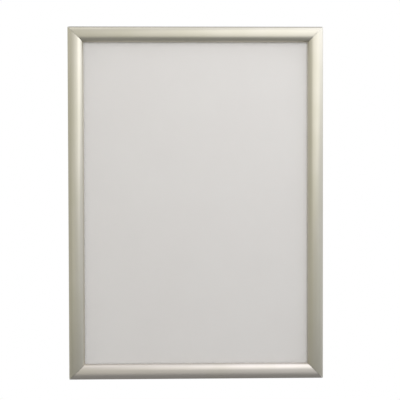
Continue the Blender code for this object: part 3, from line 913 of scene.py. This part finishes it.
def mill_aluminium(finishes):
    """Plain aluminium of the base rails, with clearer lines from the die."""
    made = Finish("mill_aluminium", metallic=1.0)
    lines = made.effect(drawn_lines, 0.6 * MM)
    patches = made.effect(soft_patches, 30 * MM)
    wear = made.effect(edge_wear, 4 * MM)
    color = made.mottled(finishes.rail_silver, (0.93, 0.93, 0.95), patches)
    color = made.tone(color, shade(finishes.bare), made.math("MULTIPLY", wear, 0.6))
    made.coat(color, made.math("MULTIPLY_ADD", lines, 0.16, made.between(patches, 0.32, 0.38)))
    made.relief(lines, 0.03 * MM, 0.5)
    return made.material


def sawn_aluminium(finishes):
    """Bare cuts, with the marks of the saw and the drill."""
    made = Finish("sawn_aluminium", metallic=1.0)
    marks = made.add("ShaderNodeTexWave", {
        "Vector": made.here(),
        "Scale": 900.0,
        "Distortion": 1.2,
        "Detail": 2.0,
    }, bands_direction="Y").outputs["Fac"]
    patches = made.effect(soft_patches, 3 * MM)
    color = made.mottled(finishes.bare, (0.88, 0.88, 0.9), patches)
    made.coat(color, made.between(marks, 0.26, 0.42))
    made.relief(marks, 0.02 * MM, 0.6)
    return made.material


def zinc_plate(finishes):
    """Bright zinc on the stamped keys, with a faint yellow cast in places."""
    made = Finish("zinc_plate", metallic=1.0)
    patches = made.effect(soft_patches, 9 * MM)
    grit = made.effect(fine_grit, 0.25 * MM)
    wear = made.effect(edge_wear, 3 * MM)
    color = made.mottled(finishes.zinc, (1.03, 0.99, 0.88), patches)
    color = made.tone(color, shade(finishes.zinc, 1.25, 1.22, 1.2), wear)
    made.coat(color, made.math("MULTIPLY_ADD", grit, 0.12, made.between(patches, 0.27, 0.34)))
    made.relief(grit, 0.03 * MM, 0.5)
    return made.material


def spring_steel(finishes):
    """Rolled and blued strip of the leaf springs, rubbed bright along its edges."""
    made = Finish("spring_steel", metallic=1.0)
    lines = made.effect(drawn_lines, 0.5 * MM)
    patches = made.effect(soft_patches, 6 * MM)
    wear = made.effect(edge_wear, 2 * MM)
    color = made.mottled(finishes.spring, (0.84, 0.86, 0.92), patches)
    color = made.tone(color, shade(finishes.spring, 1.5, 1.5, 1.48), wear)
    made.coat(color, made.math("MULTIPLY_ADD", lines, 0.12, made.between(patches, 0.2, 0.28)))
    made.relief(lines, 0.02 * MM, 0.4)
    return made.material


def black_oxide(finishes):
    """Blackened steel of the grub screws, browner in places."""
    made = Finish("black_oxide", metallic=1.0)
    patches = made.effect(soft_patches, 1.2 * MM)
    grit = made.effect(fine_grit, 0.12 * MM)
    color = made.mottled(finishes.oxide, (1.9, 1.6, 1.35), patches)
    made.coat(color, made.math("MULTIPLY_ADD", grit, 0.2, made.between(patches, 0.34, 0.44)))
    made.relief(grit, 0.02 * MM, 0.5)
    return made.material


def styrene_board(finishes):
    """Extruded white board of the backing panel, with a fine stipple."""
    made = Finish("styrene_board")
    patches = made.effect(soft_patches, 60 * MM)
    grit = made.effect(fine_grit, 0.8 * MM)
    color = made.mottled(finishes.board, (0.97, 0.968, 0.96), patches)
    made.coat(color, made.math("MULTIPLY_ADD", grit, 0.1, made.between(patches, 0.45, 0.52)))
    made.relief(grit, 0.05 * MM, 0.4)
    return made.material


def blank_paper(finishes):
    """Uncoated white paper, mottled by its fibres."""
    made = Finish("blank_paper")
    fibres = made.effect(fine_grit, 0.6 * MM)
    patches = made.effect(soft_patches, 4 * MM)
    color = made.mottled(finishes.paper, (0.985, 0.98, 0.97), patches)
    made.coat(color, made.between(fibres, 0.78, 0.9))
    made.relief(fibres, 0.04 * MM, 0.4)
    return made.material


def matte_film(finishes):
    """Clear film with a matte face that scatters the light over the insert."""
    made = Finish("matte_film")
    patches = made.effect(soft_patches, 90 * MM)
    grit = made.effect(fine_grit, 0.3 * MM)
    color = made.mottled(finishes.film, (0.99, 0.985, 0.985), patches)
    made.coat(color, made.math("MULTIPLY_ADD", grit, 0.06, made.between(patches, 0.38, 0.42)))
    made.relief(grit, 0.01 * MM, 0.3)
    made.shader.inputs["Alpha"].default_value = finishes.film_veil
    return made.material


def pale_floor(finishes, radius):
    """Plain painted floor, which fades into the room towards its rim."""
    made = Finish("pale_floor")
    patches = made.effect(soft_patches, 0.7)
    grit = made.effect(fine_grit, 6 * MM)
    color = made.mottled(finishes.floor, (0.97, 0.97, 0.965), patches)
    seen = made.add("ShaderNodeLightPath").outputs["Is Camera Ray"]
    deep = made.math("MULTIPLY", made.math("SUBTRACT", 1.0, seen), finishes.floor_depth)
    color = made.tone(color, BLACK, deep)
    made.coat(color, made.between(grit, 0.7, 0.8))
    made.relief(grit, 0.3 * MM, 0.3)
    flat = made.add("ShaderNodeVectorMath", {
        0: made.here(),
        1: (1, 1, 0),
    }, operation="MULTIPLY").outputs[0]
    far = made.add("ShaderNodeVectorMath", {0: flat}, operation="LENGTH").outputs["Value"]
    made.tree.links.new(made.soft(far, radius, radius / 3), made.shader.inputs["Alpha"])
    return made.material


def studio_room(settings):
    """Surroundings by direction: white behind the frame, and a soft room from below to above."""
    world = bpy.data.worlds.new("studio_room")
    world.use_nodes = True
    made = Nodes(world.node_tree)
    direction = made.add("ShaderNodeTexCoord").outputs["Generated"]
    parts = made.add("ShaderNodeSeparateXYZ", {"Vector": direction}).outputs
    rise = made.add("ShaderNodeMapRange", {"Value": parts["Z"], "From Min": -1.0}).outputs[0]
    ramp = made.add("ShaderNodeValToRGB", {"Fac": rise})
    for place, level in ROOM_LEVELS[1:-1]:
        ramp.color_ramp.elements.new((place + 1) / 2)
    for stop, (place, level) in zip(ramp.color_ramp.elements, ROOM_LEVELS):
        stop.position = (place + 1) / 2
        stop.color = (level, level, level * (1 + settings.upper_blue * max(place, 0)), 1)
    right = made.soft(parts["X"], *RIGHT_REACH)
    upper_right = made.math("MULTIPLY", right, made.soft(parts["Z"], *RAISED_REACH))
    glow = made.math("MULTIPLY", made.soft(parts["X"], *LEFT_REACH), settings.left_glow)
    glow = made.math("MULTIPLY_ADD", right, settings.right_glow, glow)
    glow = made.math("MULTIPLY_ADD", upper_right, settings.upper_glow, glow)
    glow = made.math("MULTIPLY_ADD", made.soft(parts["Y"], *FRONT_REACH), settings.front_glow, glow)
    lit = made.tone(ramp.outputs["Color"], glow, 1.0, "ADD")
    back = made.math("MULTIPLY", made.soft(parts["Z"], *HIGH_REACH), made.soft(parts["Y"], *BACK_REACH))
    lit = made.tone(lit, BLACK, made.math("MULTIPLY", back, settings.back_shade))
    across = made.soft(parts["X"], -1.0, 1.0)
    tint = made.tone(shade(settings.left_tone), shade(settings.right_tone), across)
    lit = made.tone(lit, tint, 1.0, "MULTIPLY")
    seen = made.add("ShaderNodeLightPath").outputs["Is Camera Ray"]
    lit = made.tone(lit, (settings.plain_level, settings.plain_level, settings.plain_level, 1), seen)
    behind = made.soft(parts["Y"], math.cos(settings.white_rim), math.cos(settings.white_core))
    lit = made.tone(lit, WHITE, behind)
    made.tree.links.new(lit, made.tree.nodes["Background"].inputs["Color"])
    return world


class SNAPFRAME_OT_studio(bpy.types.Operator):
    """Set up the camera, the lamps, the soft surroundings and the floor"""
    bl_idname = "snapframe.studio"
    bl_label = "Studio"

    def execute(self, context):
        scene = context.scene
        settings = scene.snap_studio
        scene.view_settings.view_transform = "Standard"
        camera = bpy.data.objects.new("camera", bpy.data.cameras.new("camera"))
        scene.collection.objects.link(camera)
        camera.data.lens = settings.lens
        camera.data.sensor_width = 36
        place = Vector((settings.camera_right, -settings.camera_distance, settings.camera_height))
        turn = (Matrix.Rotation(-settings.camera_yaw, 4, "Z")
                @ Matrix.Rotation(QUARTER + settings.camera_pitch, 4, "X")
                @ Matrix.Rotation(settings.camera_roll, 4, "Z"))
        camera.matrix_world = Matrix.Translation(place) @ turn
        scene.camera = camera
        scene.world = studio_room(settings)
        for name, place, power, size in (
            ("key_lamp", Vector(settings.key_place), settings.key_power, settings.key_size),
            ("fill_lamp", Vector(settings.fill_place), settings.fill_power, settings.fill_size),
        ):
            lamp = bpy.data.lights.new(name, "AREA")
            lamp.shape = "DISK"
            lamp.size = size
            lamp.energy = power
            holder = bpy.data.objects.new(name, lamp)
            holder.matrix_world = Matrix.LocRotScale(place, (-place).to_track_quat("-Z", "Y"), None)
            holder.visible_camera = False
            scene.collection.objects.link(holder)
        bm = bmesh.new()
        bmesh.ops.create_circle(bm, cap_ends=True, radius=settings.floor_radius,
                                segments=settings.floor_steps)
        shift(bm, (0, 0, -settings.floor_drop))
        mesh = bpy.data.meshes.new("floor")
        bm.to_mesh(mesh)
        bm.free()
        mesh.materials.append(pale_floor(scene.snap_finishes, settings.floor_radius))
        floor = bpy.data.objects.new("floor", mesh)
        scene.collection.objects.link(floor)
        return {"FINISHED"}


class SNAPFRAME_PT_panel(bpy.types.Panel):
    """Lists the operators and the sizes that they use"""
    bl_idname = "SNAPFRAME_PT_panel"
    bl_label = "Snap Frame"
    bl_space_type = "VIEW_3D"
    bl_region_type = "UI"
    bl_category = "Snap Frame"

    def draw(self, context):
        for operator in OPERATORS:
            self.layout.operator(operator.bl_idname)
        for name in SETTINGS:
            group = getattr(context.scene, name)
            box = self.layout.box()
            for size in group.__annotations__:
                box.prop(group, size)


SETTINGS = {
    "snap_lids": LidSizes,
    "snap_rails": RailSizes,
    "snap_fittings": FittingSizes,
    "snap_finishes": Finishes,
    "snap_studio": StudioSettings,
}
OPERATORS = (
    SNAPFRAME_OT_lids,
    SNAPFRAME_OT_rails,
    SNAPFRAME_OT_springs,
    SNAPFRAME_OT_keys,
    SNAPFRAME_OT_grub_screws,
    SNAPFRAME_OT_sheets,
    SNAPFRAME_OT_studio,
)
CLASSES = (*SETTINGS.values(), *OPERATORS, SNAPFRAME_PT_panel)


def register():
    for kind in CLASSES:
        bpy.utils.register_class(kind)
    for name, kind in SETTINGS.items():
        setattr(bpy.types.Scene, name, PointerProperty(type=kind))


def unregister():
    for name in SETTINGS:
        delattr(bpy.types.Scene, name)
    for kind in reversed(CLASSES):
        bpy.utils.unregister_class(kind)


def main():
    register()
    bpy.ops.snapframe.lids()
    bpy.ops.snapframe.rails()
    bpy.ops.snapframe.springs()
    bpy.ops.snapframe.keys()
    bpy.ops.snapframe.grub_screws()
    bpy.ops.snapframe.sheets()
    bpy.ops.snapframe.studio()


if __name__ == "__main__":
    main()
